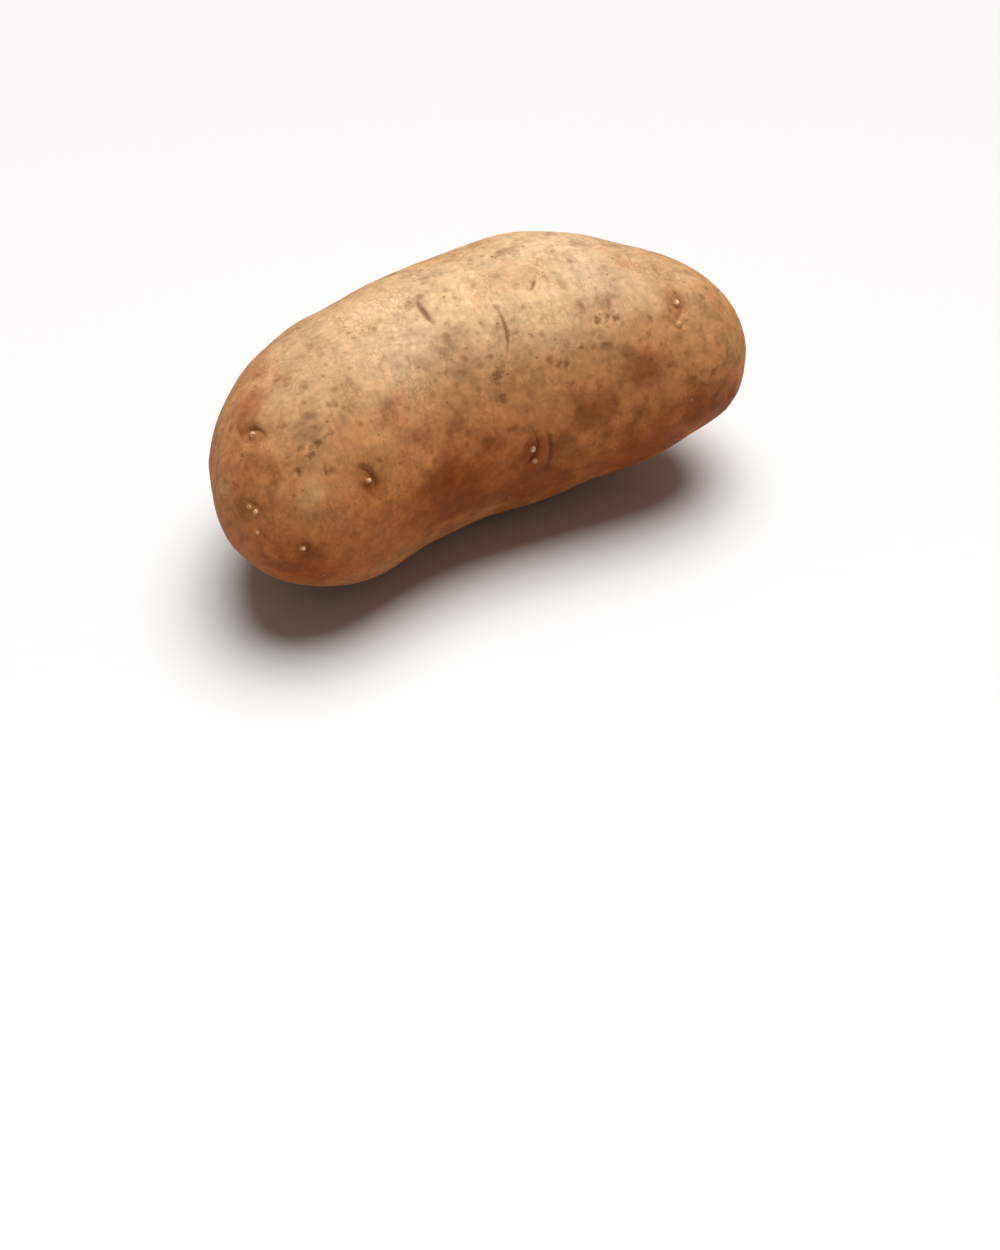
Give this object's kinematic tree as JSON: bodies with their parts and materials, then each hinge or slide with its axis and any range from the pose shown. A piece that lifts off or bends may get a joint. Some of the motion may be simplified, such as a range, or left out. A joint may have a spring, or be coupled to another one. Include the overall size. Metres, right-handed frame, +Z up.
{
  "type": "potato",
  "caption": "Whole unpeeled potato, long and kidney-shaped, with shallow eyes and small pale buds, lying on a small flat spot.",
  "frame": {"origin": "on the surface that the potato lies on, under the middle of its box", "axes": "+X from the rose end, where the eyes crowd, to the stem end, +Z up, and the hollow side of the bend faces -Y"},
  "size_m": [0.1342, 0.0734, 0.063],
  "materials": {
    "skin": "dry matt potato skin, tan with redder and paler patches"
  },
  "bodies": {
    "root": {"potato": "skin"}
  },
  "joints": []
}
